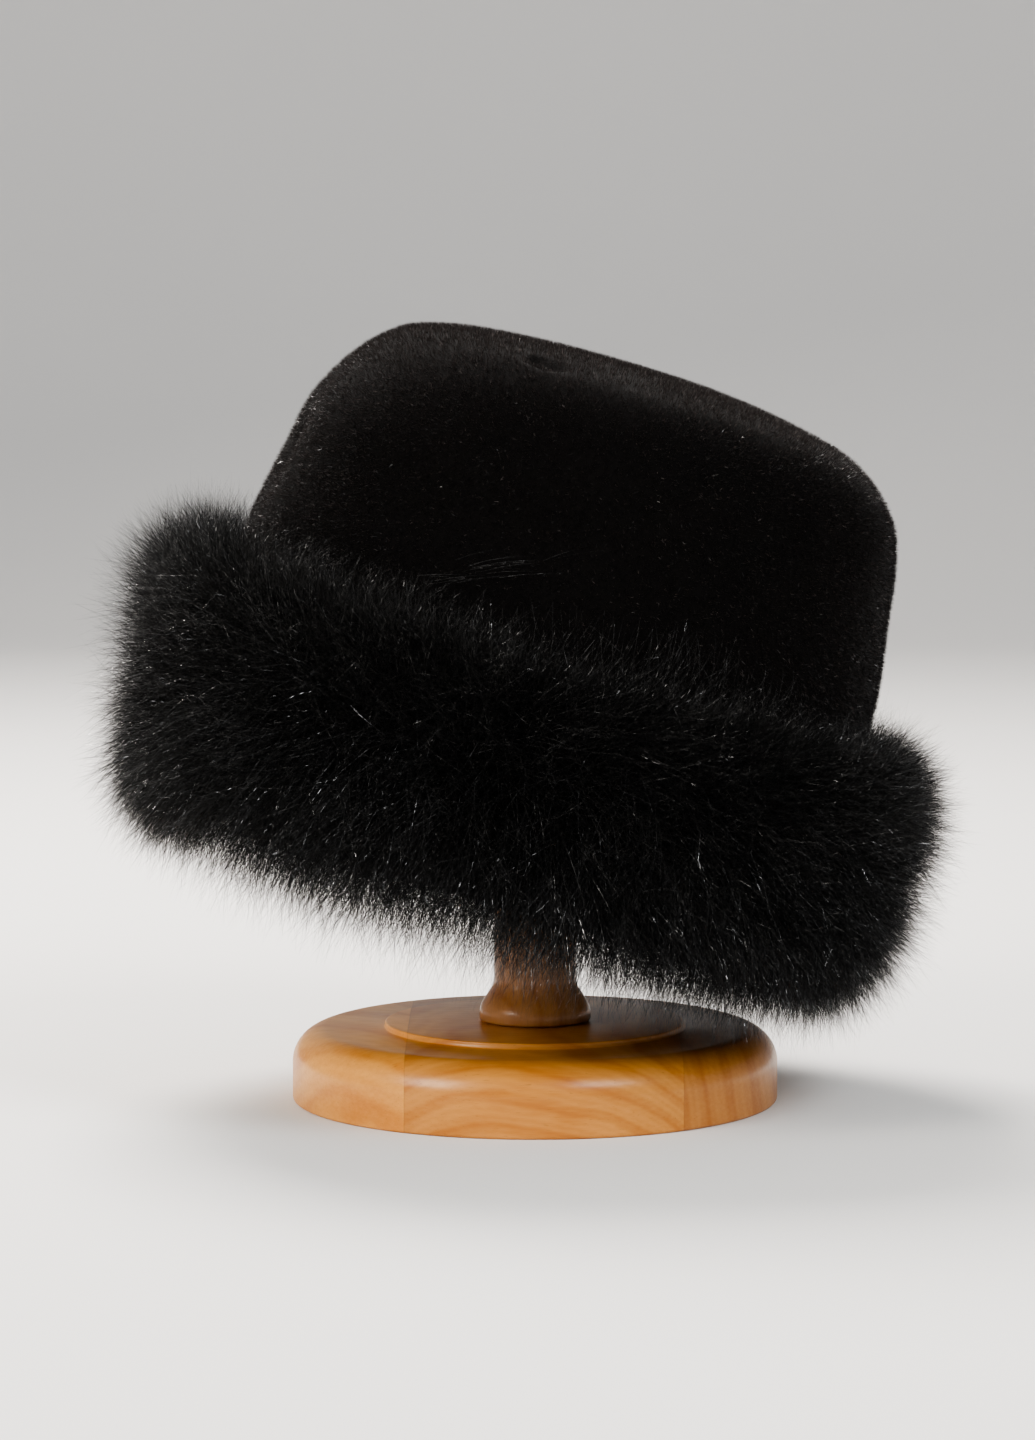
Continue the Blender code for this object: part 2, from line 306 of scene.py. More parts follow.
def oval(right, left, side, around):
    """A point of the egg-shaped oval at each angle, from shares of the hat's half length and
    width: reach times cosine and sine, each raised to two over the fullness with its sign kept."""
    power = 2.0 / OVAL_FULLNESS
    along, across = np.cos(around), np.sin(around)
    reach = np.where(along >= 0, right * HAT_HALF_LENGTH, left * HAT_HALF_LENGTH)
    x = reach * np.sign(along) * np.abs(along) ** power
    y = side * HAT_HALF_WIDTH * np.sign(across) * np.abs(across) ** power
    return x, y


def outward(x, y):
    """The level direction straight out of the oval: the gradient of its equation, made unit."""
    slope = OVAL_FULLNESS - 1.0
    along = np.sign(x) * np.abs(x / HAT_HALF_LENGTH) ** slope / HAT_HALF_LENGTH
    across = np.sign(y) * np.abs(y / HAT_HALF_WIDTH) ** slope / HAT_HALF_WIDTH
    size = np.hypot(along, across) + 1e-12
    return along / size, across / size


def crown_profile(count=600):
    """The crown's section from rim to top at even steps along its length: up and the reaches."""
    rows = np.array(CROWN_SECTIONS)
    steps = np.hypot(np.diff(rows[:, 0]) * CROWN_HEIGHT, np.diff(rows[:, 3]) * HAT_HALF_WIDTH)
    knots = np.concatenate([[0.0], np.cumsum(steps)])
    knots /= knots[-1]
    at = np.linspace(0.0, 1.0, count)
    return at, spline(knots, rows, at)


PROFILE_AT, PROFILE_ROWS = crown_profile()


def dent_depth(around, up):
    """How far the cloth sinks: a sum of bell curves over the table of hollows."""
    depth = np.zeros(np.broadcast(around, up).shape)
    for middle, height, wide, tall, deep in CROWN_DENTS:
        turn = (np.degrees(around) - middle + 180.0) % 360.0 - 180.0
        rise = up - height
        depth += deep * np.exp(-((turn / wide) ** 2) - (rise / tall) ** 2)
    return depth


def crown_point(around, share):
    """The crown's outer surface: the section's reaches at this share of its length, put round
    the oval, less the hollows."""
    up, right, left, side = (np.interp(share, PROFILE_AT, column) for column in PROFILE_ROWS.T)
    x, y = oval(right, left, side, around)
    out_x, out_y = outward(x, y)
    sink = dent_depth(around, up)
    points = np.stack([x - out_x * sink, y - out_y * sink, up * CROWN_HEIGHT + 0 * around], -1)
    points[..., 2] -= nearness(points) * PARTING_DEPTH
    return points


def share_at(up):
    """The place along the crown's section that is this high."""
    return np.interp(up, PROFILE_ROWS[:, 0], PROFILE_AT)


def nearness(points):
    """How near points are to the parting's line, from 0 to 1: a bell curve of their distance,
    with a ragged edge."""
    first, second = np.array(PARTING_ENDS)
    line = second - first
    along = np.clip((points - first) @ line / (line @ line), 0.0, 1.0)
    gap = points - first - along[..., None] * line
    ragged = 1.0 + PARTING_RAGGEDNESS * slow_waves(points, PARTING_RAG_SIZE, 9)
    return np.exp(-(gap**2).sum(-1) / PARTING_WIDTH**2 * ragged)


def cuff_point(around, tilt, bulge, low, high):
    """A band that bulges from the crown's wall: out is the bulge times the cosine of the tilt
    to a low power, up goes from low to high with the tilt's sine."""
    sine = np.sin(tilt)
    swell = bulge * np.clip(np.cos(tilt), 0.0, 1.0) ** CUFF_OUT_POWER
    low_end = np.clip(np.cos(around), 0.0, 1.0)
    high_end = np.clip(-np.cos(around), 0.0, 1.0)
    fuller = CUFF_LOW_END_FULLNESS * low_end**2 + CUFF_HIGH_END_FULLNESS * high_end**2
    swell = swell * (1.0 + fuller + CUFF_HIGH_END_SKEW * high_end * sine)
    rise = np.sign(sine) * np.abs(sine) ** CUFF_UP_POWER
    height = (low + high) / 2 + (high - low) / 2 * rise
    rows = np.array(CROWN_SECTIONS[:3])
    share = np.clip(height / CROWN_HEIGHT, 0.0, rows[-1, 0])
    right, left, side = (np.interp(share, rows[:, 0], rows[:, i]) for i in (1, 2, 3))
    x, y = oval(right, left, side, around)
    out_x, out_y = outward(x, y)
    return np.stack([x + out_x * swell, y + out_y * swell, height + 0 * x], -1)


def normals_of(shape, first, second, step=1e-3):
    """Unit normals of a two-parameter surface: the cross product of its two slopes."""
    along = shape(first + step, second) - shape(first - step, second)
    across = shape(first, second + step) - shape(first, second - step)
    return unit(np.cross(along, across))


def lean(vectors):
    """Directions of the hat's own frame turned about Y into the world's."""
    c, s = math.cos(HAT_LEAN), math.sin(HAT_LEAN)
    turn = np.array([[c, 0.0, s], [0.0, 1.0, 0.0], [-s, 0.0, c]])
    return vectors @ turn.T


def rim_height():
    """How high the rim's centre is, so that the leaning crown's highest point is the frame's."""
    around, share = np.meshgrid(np.linspace(0, math.tau, 181), np.linspace(0, 1, 301))
    return CROWN_BOX[1][2] - lean(crown_point(around, share))[..., 2].max()


RIM_CENTRE = np.array([HAT_RIM_X, 0.0, rim_height()])


def on_hat(points):
    """Points of the hat's own frame, in the world."""
    return lean(points) + RIM_CENTRE


# Meshes

def ring_faces(rows, columns, closed=False):
    """Quads between neighbouring rings of a grid, and from its last ring to its first if closed."""
    low = (np.arange(rows if closed else rows - 1) * columns)[:, None]
    high = (low + columns) % (rows * columns)
    here = np.arange(columns)
    there = (here + 1) % columns
    return np.stack([low + here, low + there, high + there, high + here], -1).reshape(-1, 4)


def fan_faces(first, columns, apex):
    """Triangles from the ring that starts at this point to a single point."""
    here = np.arange(columns)
    return np.stack([first + here, first + (here + 1) % columns, np.full(columns, apex)], -1)


def make_piece(name, points, face_sets, material):
    """An object at the origin from whole arrays: its points, and arrays of faces with as many
    corners each."""
    mesh = bpy.data.meshes.new(name)
    mesh.vertices.add(len(points))
    mesh.vertices.foreach_set("co", np.asarray(points, np.float32).ravel())
    corners = np.concatenate([faces.ravel() for faces in face_sets]).astype(np.int32)
    sizes = np.concatenate([np.full(len(f), f.shape[1]) for f in face_sets])
    starts = np.concatenate([[0], np.cumsum(sizes)[:-1]]).astype(np.int32)
    mesh.loops.add(len(corners))
    mesh.loops.foreach_set("vertex_index", corners)
    mesh.polygons.add(len(starts))
    mesh.polygons.foreach_set("loop_start", starts)
    mesh.update(calc_edges=True)
    mesh.validate()
    mesh.shade_smooth()
    mesh.materials.append(material)
    piece = bpy.data.objects.new(name, mesh)
    bpy.context.scene.collection.objects.link(piece)
    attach(piece, BODY)
    return piece


def paint_strands(piece, tones, alongs):
    """Stores how light each strand is, and how far along it each point lies."""
    colours = np.ones((len(tones), 4), np.float32)
    colours[:, 0] = tones
    colours[:, 1] = alongs
    layer = piece.data.attributes.new("strand", "FLOAT_COLOR", "POINT")
    layer.data.foreach_set("color", colours.ravel())


def make_ribbons(name, roots, starts, ends, sides, widths, tones, form, material):
    """Tapered hairs. Each follows root + t * start + t * t * (end - start), with t from 0 to 1,
    as a flat ribbon that narrows to its tip."""
    shares, tapers = (np.array(part) for part in form)
    pairs = len(tapers)
    corners = 2 * pairs + 1
    t = shares[None, :, None]
    spine = roots[:, None] + t * starts[:, None] + t * t * (ends - starts)[:, None]
    half = (sides * widths[:, None] / 2)[:, None] * tapers[None, :, None]
    edges = np.stack([spine[:, :pairs] - half, spine[:, :pairs] + half], 2)
    edges = edges.reshape(len(roots), 2 * pairs, 3)
    points = np.concatenate([edges, spine[:, pairs:]], 1).reshape(-1, 3)
    first = (np.arange(len(roots)) * corners)[:, None]
    quads = [first + 2 * k + np.array([0, 1, 3, 2]) for k in range(pairs - 1)]
    tips = first + 2 * (pairs - 1) + np.array([0, 1, 2])
    piece = make_piece(name, points, [np.concatenate(quads), tips], material)
    alongs = np.tile(np.append(np.repeat(shares[:-1], 2), 1.0), len(roots))
    paint_strands(piece, np.repeat(tones, corners), alongs)


def make_blades(name, roots, tips, sides, widths, tones, material):
    """Short pile: one slim triangle for each hair, from a root of some width to its tip."""
    half = sides * widths[:, None] / 2
    points = np.stack([roots - half, roots + half, tips], 1).reshape(-1, 3)
    faces = np.arange(len(points)).reshape(-1, 3)
    piece = make_piece(name, points, [faces], material)
    paint_strands(piece, np.repeat(tones, 3), np.tile([0.0, 0.0, 1.0], len(roots)))


def across_of(ways, chance):
    """A direction square to each given one, turned about it at random."""
    return unit(np.cross(ways, chance.normal(size=ways.shape)))


def make_turned(name, profile, steps, material):
    """A lathe piece: the profile of (radius, height) rows from the foot's centre up to the top's
    centre, carried round Z. Both ends close on the axis."""
    profile = np.array(profile)
    turns = np.arange(steps) * math.tau / steps
    body = profile[1:-1]
    radius, height = body[:, :1], body[:, 1:] + 0 * turns
    rings = np.stack([radius * np.cos(turns), radius * np.sin(turns), height], -1).reshape(-1, 3)
    ends = [[0.0, 0.0, profile[0, 1]], [0.0, 0.0, profile[-1, 1]]]
    points = np.concatenate([rings, ends])
    foot = fan_faces(0, steps, len(rings))[:, [1, 0, 2]]
    top = fan_faces((len(body) - 1) * steps, steps, len(rings) + 1)
    return make_piece(name, points, [ring_faces(len(body), steps), foot, top], material)


def arc(centre, radius, start, end, steps=14):
    """Rows on a circle's arc in the profile plane, between two angles in degrees."""
    angles = np.radians(np.linspace(start, end, steps + 1))
    return [(centre[0] + radius * math.cos(a), centre[1] + radius * math.sin(a)) for a in angles]


def flare(low, high, steps=18):
    """Rows of a smooth S curve between two (radius, height) rows, upright at both ends."""
    shares = np.linspace(0.0, 1.0, steps + 1)
    eased = 0.5 - 0.5 * np.cos(np.pi * shares)
    return [
        (low[0] + (high[0] - low[0]) * e, low[1] + (high[1] - low[1]) * s)
        for e, s in zip(eased, shares)
    ]


# Materials

class Value:
    """One number or colour that a material works out. Arithmetic on it adds the Math nodes."""

    def __init__(self, graph, socket):
        self.graph = graph
        self.socket = socket

    def math(self, operation, *others):
        """This value put through a Math node, with the other numbers or values it needs."""
        return self.graph.math(operation, self, *others)

    def __add__(self, other):
        return self.math("ADD", other)

    __radd__ = __add__

    def __mul__(self, other):
        return self.math("MULTIPLY", other)

    def __sub__(self, other):
        return self.math("SUBTRACT", other)

    def __rsub__(self, other):
        return self.graph.math("SUBTRACT", other, self)

    def __pow__(self, other):
        return self.math("POWER", other)

    def __gt__(self, other):
        return self.math("GREATER_THAN", other)

    def __lt__(self, other):
        return self.math("LESS_THAN", other)


class Graph:
    """A material under construction, with its Principled shader."""

    def __init__(self, name, **constants):
        self.material = bpy.data.materials.new(name)
        self.material.use_nodes = True
        self.tree = self.material.node_tree
        self.shader = self.tree.nodes["Principled BSDF"]
        for key, value in constants.items():
            self.shader.inputs[key.replace("_", " ")].default_value = value

    def add(self, kind, sockets=None, output=0, **settings):
        """One output of a new node, with numbers or values for its sockets, and its settings."""
        node = self.tree.nodes.new(kind)
        for key, value in settings.items():
            setattr(node, key, value)
        for key, value in (sockets or {}).items():
            self.put(node.inputs[key], value)
        return Value(self, node.outputs[output])

    def put(self, socket, value):
        """Links a value to a socket, or sets a number on it."""
        if isinstance(value, Value):
            self.tree.links.new(value.socket, socket)
        else:
            socket.default_value = value

    def math(self, operation, *values):
        """A Math node on up to three numbers or values."""
        return self.add("ShaderNodeMath", dict(enumerate(values)), operation=operation)

    def place(self):
        """Where the point is on the object, as a vector, and its three parts."""
        vector = self.add("ShaderNodeTexCoord", output="Object")
        parts = [self.add("ShaderNodeSeparateXYZ", {0: vector}, axis) for axis in "XYZ"]
        return vector, *parts

    def vector(self, x, y, z):
        """A vector from three numbers or values."""
        return self.add("ShaderNodeCombineXYZ", {0: x, 1: y, 2: z})

    def noise(self, vector, scale, detail=3.0, roughness=0.5):
        """Soft noise from 0 to 1 at this scale."""
        sockets = {"Vector": vector, "Scale": scale, "Detail": detail, "Roughness": roughness}
        return self.add("ShaderNodeTexNoise", sockets)

    def mix(self, share, first, second, blend="MIX"):
        """Two colours mixed, or blended in another way, by a share."""
        first = first if isinstance(first, Value) else (*first, 1.0)
        second = second if isinstance(second, Value) else (*second, 1.0)
        settings = {"data_type": "RGBA", "blend_type": blend, "clamp_factor": True}
        return self.add("ShaderNodeMix", {0: share, 6: first, 7: second}, 2, **settings)

    def ramp(self, value, *stops):
        """A value turned into colour by (place, colour) stops."""
        shaded = self.add("ShaderNodeValToRGB", {0: value})
        elements = shaded.socket.node.color_ramp.elements
        while len(elements) < len(stops):
            elements.new(1.0)
        for element, (place, colour) in zip(elements, stops):
            element.position = place
            element.color = (*colour, 1.0)
        return shaded

    def rise(self, value, low, high):
        """How far a value is from one number to another, from 0 to 1."""
        return self.add("ShaderNodeMapRange", {0: value, 1: low, 2: high}, clamp=True)

    def bump(self, height, strength, distance):
        """A relief from a height."""
        sockets = {"Strength": strength, "Distance": distance, "Height": height}
        return self.add("ShaderNodeBump", sockets)

    def blend(self, share, other):
        """Puts a second shader beside the main one, by this share."""
        main = Value(self, self.shader.outputs[0])
        mixed = self.add("ShaderNodeMixShader", {0: share, 1: main, 2: other})
        self.put(self.tree.nodes["Material Output"].inputs["Surface"], mixed)

    def finish(self, **inputs):
        """Links what varies to the shader, and gives the material."""
        for key, value in inputs.items():
            self.put(self.shader.inputs[key.replace("_", " ")], value)
        return self.material


def scaled(colour, factor):
    """A colour made lighter or darker."""
    return tuple(min(1.0, part * factor) for part in colour)


def wood_material(name, colour, gloss, figure, fibres):
    """Varnished wood: broad bands that follow a figure, fine fibres, small dark pores, and a
    clear coat over it."""
    graph = Graph(name, Coat_Weight=gloss, Coat_Roughness=0.23, Specular_IOR_Level=0.3)
    vector, x, y, z = graph.place()
    slow = graph.noise(vector, 22.0, 2.0)
    band, tone = figure(graph, x, y, z)
    rings = graph.math("SINE", band + slow * 9.0) * 0.5 + 0.5
    fine_rings = graph.math("SINE", band * 3.7 + slow * 21.0) * 0.5 + 0.5
    thread = graph.vector(x * fibres[0], y * fibres[1], z * fibres[2])
    fibre = graph.noise(thread, 1.0, 4.0, 0.65)
    pores = graph.noise(thread, 2.6, 2.0, 0.5)
    pore = graph.rise(pores, 0.66, 0.74)
    cloud = graph.noise(vector, 46.0, 3.0)
    share = rings ** 2.0 * 0.30 + fine_rings * 0.10 + fibre * 0.50 + (cloud - 0.5) * 0.6
    wood = graph.ramp(
        share,
        (0.12, (colour[0] * 1.16, colour[1] * 1.24, colour[2] * 1.42)),
        (0.42, colour),
        (0.66, (colour[0] * 0.88, colour[1] * 0.77, colour[2] * 0.62)),
        (0.95, (colour[0] * 0.70, colour[1] * 0.54, colour[2] * 0.38)),
    )
    wood = graph.mix(pore * 0.35, wood, scaled(colour, 0.30))
    wood = graph.mix(1.0, wood, tone, "MULTIPLY")
    relief = graph.bump(fibre * 0.6 - pore * 0.8, 0.10, 0.0004)
    return graph.finish(Base_Color=wood, Roughness=fibre * 0.22 + 0.30, Normal=relief)


def block_figure(graph, x, y, z):
    """The glued foot: three blocks, each with bands that run its own way, a tone of its own
    and a thin dark line at its joint. The right block's tone also holds painted shade, and the
    raised middle is painted lighter, painted light where the hat's shade falls on it. Bands are
    the sine of a slanted height."""
    left = x < LEFT_JOINT
    right = x > RIGHT_JOINT
    middle = 1.0 - left - right
    arch = (x - LEFT_JOINT) * (x - LEFT_JOINT) * 9.0
    slanted = (x * 0.8 + z * 0.9 + y * 0.5 + arch) * 330.0
    level = (z * 1.3 + x * 0.16 + x * x * 9.0 + y * 0.12) * 520.0
    upright = (x * 1.1 + z * 0.12 + y * 0.2) * 560.0
    band = slanted * left + level * middle + upright * right
    near_left = graph.math("ABSOLUTE", x - LEFT_JOINT)
    near_right = graph.math("ABSOLUTE", x - RIGHT_JOINT)
    gap = graph.math("MINIMUM", near_left, near_right) < JOINT_HALF_WIDTH
    tone = graph.mix(left, MIDDLE_TONE, LEFT_TONE)
    # The right block's tone is its own darker wood plus painted shade.
    tone = graph.mix(right, tone, RIGHT_TONE_AND_SHADE)
    # Painted light: the raised middle is painted lighter where the hat's shade falls.
    tone = graph.mix(z > BASE_TOP - PLATEAU_RISE * 0.9, tone, RAISED_PAINTED_LIGHT, "MULTIPLY")
    return band, graph.mix(gap * 0.20, tone, JOINT_TONE)


def post_figure(graph, x, y, z):
    """The turned post: upright bands, from its flat-sawn blank."""
    return (x * 1.3 + y * 0.5 + z * 0.10) * 560.0, POST_TONE


def plush_material(settings):
    """Cloth under the pile: near-black, uneven at two sizes, with fine relief and a soft sheen."""
    graph = Graph("plush_cloth", Specular_IOR_Level=0.06, Sheen_Weight=0.06, Sheen_Roughness=0.40)
    vector = graph.place()[0]
    patches = graph.noise(vector, 60.0, 3.0)
    grains = graph.noise(vector, 1400.0, 2.0)
    share = patches * 0.6 + grains * 0.4
    colour = settings.colour
    black = graph.ramp(share, (0.30, scaled(colour, 0.55)), (0.75, scaled(colour, 1.05)))
    relief = graph.bump(grains, 0.35, 0.0005)
    return graph.finish(Base_Color=black, Roughness=patches * 0.15 + 0.80, Normal=relief)


def hair_material(name, colour, painted_glint, roughness, shine, coat, through):
    """Hair: darker at its root, each strand with its own tone, small flecks that glint with a real
    gloss and with a painted glint of lighter colour, a fine twist along it, and a share of light
    that passes through it."""
    graph = Graph(name, Specular_IOR_Level=shine, Coat_Roughness=coat)
    strand = graph.add("ShaderNodeAttribute", output="Color", attribute_name="strand")
    tone, along = (graph.add("ShaderNodeSeparateColor", {0: strand}, i) for i in (0, 1))
    hair = graph.ramp(
        along * 0.45 + tone * 0.55, (0.0, scaled(colour, 0.30)), (0.6, colour), (1.0, scaled(colour, 2.2))
    )
    flecks = graph.noise(graph.place()[0], 620.0, 0.0)
    fleck = graph.rise(flecks, 0.56, 0.70)
    spark = fleck * tone * (along * 0.7 + 0.3)
    twist = graph.bump(graph.noise(graph.place()[0], 950.0, 0.0), 1.0, 0.0006)
    # Painted glint: the hair's colour is made lighter in the flecks.
    hair = graph.mix(spark, hair, scaled(colour, 1.0 + painted_glint))
    if through:
        glow = graph.add("ShaderNodeBsdfTranslucent", {0: (*scaled(colour, 14.0), 1.0)})
        graph.blend(through, glow)
    return graph.finish(
        Base_Color=hair,
        Roughness=roughness + (1.0 - fleck) * 0.16,
        Coat_Weight=spark * FLECK_GLOSS,
        Normal=twist,
    )


def fur_body_material(settings):
    """The shaded depth of the fur: near-black with fine strands running out of it."""
    graph = Graph("fur_depth", Specular_IOR_Level=0.05, Sheen_Weight=0.0)
    x, y, z = graph.place()[1:]
    strands = graph.noise(graph.vector(x * 900.0, y * 900.0, z * 260.0), 1.0, 3.0, 0.6)
    colour = settings.colour
    black = graph.ramp(strands, (0.35, scaled(colour, 0.10)), (0.8, scaled(colour, 0.40)))
    relief = graph.bump(strands, 0.8, 0.0015)
    return graph.finish(Base_Color=black, Roughness=strands * 0.1 + 0.88, Normal=relief)


# Settings

def colour_setting(name, description, default):
    """A setting that holds a colour."""
    return FloatVectorProperty(
        name=name, description=description, subtype="COLOR", size=3, min=0.0, max=1.0, default=default
    )


class StandSettings(PropertyGroup):
    """The stand's finish."""

    wood: colour_setting("Wood", "Colour of the varnished wood", (0.57, 0.248, 0.056))
    gloss: FloatProperty(
        name="Varnish", description="How glossy the varnish is", min=0.0, max=1.0,
        subtype="FACTOR", default=0.30,
    )
    steps: IntProperty(
        name="Steps", description="Steps round the turned pieces", min=32, max=512, default=192
    )


class CrownSettings(PropertyGroup):
    """The crown's cloth and its short pile."""

    colour: colour_setting("Colour", "Colour of the plush", (0.0038, 0.0031, 0.0029))
    pile_length: FloatProperty(
        name="Pile length", description="Length of the pile's hairs", unit="LENGTH",
        min=0.001, max=0.02, default=0.0018,
    )
    pile_width: FloatProperty(
        name="Pile width", description="Width of one hair at its root", unit="LENGTH",
        min=0.00005, max=0.001, default=0.00017,
    )
    pile_count: IntProperty(
        name="Pile count", description="Hairs in each of the pile's two layers",
        min=1000, max=190000, default=106000,
    )


class CuffSettings(PropertyGroup):
    """The cuff's long fur."""

    colour: colour_setting("Colour", "Colour of the fur", (0.0052, 0.0049, 0.0047))
    thickness: FloatProperty(
        name="Hair thickness", description="How thick the hairs are, against their usual width",
        subtype="FACTOR", min=0.2, max=4.0, default=1.0,
    )
    fullness: FloatProperty(
        name="Fullness", description="Share of the usual number of hairs that grow",
        subtype="FACTOR", min=0.05, max=1.0, default=1.0,
    )
    droop: FloatProperty(
        name="Droop", description="How far a hair's tip sinks, as a share of its length",
        subtype="FACTOR", min=0.0, max=0.5, default=0.07,
    )


class StageSettings(PropertyGroup):
    """The floor and the lights."""

    floor: colour_setting("Floor", "Colour of the floor", (0.80, 0.785, 0.76))
    key_power: FloatProperty(
        name="Key light", description="Power of the main light in watts", min=0.0, default=29.0
    )
    air: FloatProperty(
        name="Surroundings", description="Strength of the light from all round", min=0.0,
        default=0.36,
    )


# Operators

class FURHAT_OT_foot(Operator):
    """Turn the stand's foot, glued from three blocks"""

    bl_idname = "furhat.foot"
    bl_label = "Stand foot"

    def execute(self, context):
        settings = context.scene.furhat_stand
        ring_top = BASE_TOP - PLATEAU_RISE
        corner = (BASE_RADIUS - BASE_ROUNDING, ring_top - BASE_ROUNDING)
        plateau_corner = (PLATEAU_RADIUS - PLATEAU_EASE, BASE_TOP - PLATEAU_EASE)
        profile = [(0.0, 0.0), (BASE_RADIUS * 0.5, 0.0)]
        profile += arc((BASE_RADIUS - BASE_FOOT_EASE, BASE_FOOT_EASE), BASE_FOOT_EASE, -90, 0, 6)
        profile += arc(corner, BASE_ROUNDING, 0, 90, 20)
        profile += [(PLATEAU_RADIUS + PLATEAU_FOOT_OUT, ring_top)]
        profile += [(PLATEAU_RADIUS, ring_top + PLATEAU_FOOT_UP)]
        profile += arc(plateau_corner, PLATEAU_EASE, 0, 90, 6)
        profile += [(PLATEAU_RADIUS * 0.5, BASE_TOP), (0.0, BASE_TOP)]
        wood = wood_material("glued_wood", settings.wood, settings.gloss, block_figure, (90, 700, 900))
        piece = make_turned("stand_foot_turned", profile, settings.steps, wood)
        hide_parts("stand_base")
        return {"FINISHED"}


class FURHAT_OT_neck(Operator):
    """Turn the stand's neck with its flared foot"""

    bl_idname = "furhat.neck"
    bl_label = "Stand neck"

    def execute(self, context):
        settings = context.scene.furhat_stand
        flare_low = NECK_FOOT + NECK_FOOT_HEIGHT
        ease = (NECK_FOOT_RADIUS - NECK_FOOT_EASE, NECK_FOOT + NECK_FOOT_EASE)
        profile = [(0.0, NECK_FOOT)]
        profile += arc(ease, NECK_FOOT_EASE, -90, 0, 5)
        profile += flare(
            (NECK_FOOT_RADIUS, flare_low), (NECK_SHAFT_RADIUS, flare_low + NECK_FLARE_HEIGHT)
        )
        profile += flare(
            (NECK_SHAFT_RADIUS, NECK_TOP - NECK_TOP_FLARE_HEIGHT), (NECK_TOP_RADIUS, NECK_TOP)
        )
        profile += [(0.0, NECK_TOP)]
        # The post's wood is darker than the foot's, partly painted shade from the hat above it.
        wood = wood_material(
            "post_wood", scaled(settings.wood, 0.74), settings.gloss, post_figure, (900, 900, 70)
        )
        steps = settings.steps // 2
        piece = make_turned("stand_neck_turned", profile, steps, wood)
        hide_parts("stand_neck")
        return {"FINISHED"}


class FURHAT_OT_dome(Operator):
    """Give the hidden dome its plain sanded wood"""

    bl_idname = "furhat.dome"
    bl_label = "Stand dome"

    def execute(self, context):
        settings = context.scene.furhat_stand
        wood = wood_material("dome_wood", scaled(settings.wood, 0.9), 0.0, post_figure, (90, 900, 900))
        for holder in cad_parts["stand_dome"].material_slots:
            holder.material = wood
        return {"FINISHED"}


class FURHAT_OT_crown(Operator):
    """Shape the crown's padded cloth, open at the rim"""

    bl_idname = "furhat.crown"
    bl_label = "Crown cloth"

    def execute(self, context):
        columns, rows = CROWN_GRID
        pile = context.scene.furhat_crown.pile_length * PILE_ROOTED
        around, share = np.meshgrid(
            np.arange(columns) * math.tau / columns, np.linspace(0.0, 1.0, rows)
        )
        share = np.clip(share, 0.0, 0.9999)
        points = crown_point(around, share) - crown_normals(around, share) * pile
        rings = points[:-1].reshape(-1, 3)
        apex = points[-1].mean(0)
        cap = fan_faces((rows - 2) * columns, columns, len(rings))
        piece = make_piece(
            "crown_plush",
            on_hat(np.concatenate([rings, [apex]])),
            [ring_faces(rows - 1, columns), cap],
            plush_material(context.scene.furhat_crown),
        )
        wall = piece.modifiers.new("wall", "SOLIDIFY")
        wall.thickness = CROWN_WALL - pile
        wall.offset = -1.0
        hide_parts("crown")
        return {"FINISHED"}


class FURHAT_OT_pile(Operator):
    """Lay the crown's short dense pile, swept down and a little round"""

    bl_idname = "furhat.pile"
    bl_label = "Crown pile"

    def execute(self, context):
        settings = context.scene.furhat_crown
        hair = hair_material("plush_hair", settings.colour, **PILE_LOOK)
        for layer in range(2):
            chance = np.random.default_rng(31 + layer)
            count = settings.pile_count
            share = crown_shares(count, chance)
            around = chance.uniform(0.0, math.tau, count)
            skin = crown_point(around, share)
            normal = crown_normals(around, share)
            roots = skin - normal * settings.pile_length * PILE_ROOTED
            down = unit(crown_point(around, share - 1e-3) - crown_point(around, share))
            aside = np.cross(normal, down)
            size, seed, height = PILE_RIPPLE
            swirl = strayed(skin, *PILE_SWIRL, chance) + slow_waves(skin, size, seed) * height
            flow = down * np.cos(swirl)[:, None] + aside * np.sin(swirl)[:, None]
            top = np.clip((skin[:, 2] / CROWN_HEIGHT - TOP_FROM) / TOP_OVER, 0.0, 1.0)
            lay = PILE_LAY_MEAN + strayed(skin, *PILE_LAY, chance)
            lay *= 1.0 - TOP_UPRIGHT * top
            way = normal * np.cos(lay)[:, None] + flow * np.sin(lay)[:, None]
            parted = nearness(skin)
            length = settings.pile_length * chance.uniform(*PILE_LENGTHS, count)
            length *= 1.0 - PARTING_SHORTER * parted
            tips = roots + way * length[:, None]
            sides = across_of(way, chance)
            widths = np.full(count, settings.pile_width)
            # Painted sheen: the pile's tone is made lighter on the flat top, where light grazes it.
            tones = chance.beta(*PILE_TONES, count) * (1.0 + TOP_PAINTED_SHEEN * top)
            tones += 0.04 * slow_waves(skin, 0.020, 8)
            # Painted shade: the pile's tone goes to black in the parting's hollow.
            tones = np.clip(tones * (1.0 - parted), 0.0, 1.0)
            make_blades(
                f"crown_pile_{layer + 1}", on_hat(roots), on_hat(tips), lean(sides),
                widths, tones, hair,
            )
        return {"FINISHED"}


def crown_normals(around, share):
    """The crown's unit normals, taken a little inside its rim and its apex."""
    return normals_of(crown_point, around, np.clip(share, *CROWN_NORMALS))


def crown_shares(count, chance):
    """Places along the crown's section, as many on each stretch as its ring is long, from just
    inside the cuff up to the top."""
    at = np.linspace(share_at(PILE_FROM), 0.999, 400)
    reach = np.interp(at, PROFILE_AT, PROFILE_ROWS[:, 3]) + 0.01
    total = np.cumsum(reach)
    return np.interp(chance.uniform(0.0, total[-1], count), total, at)


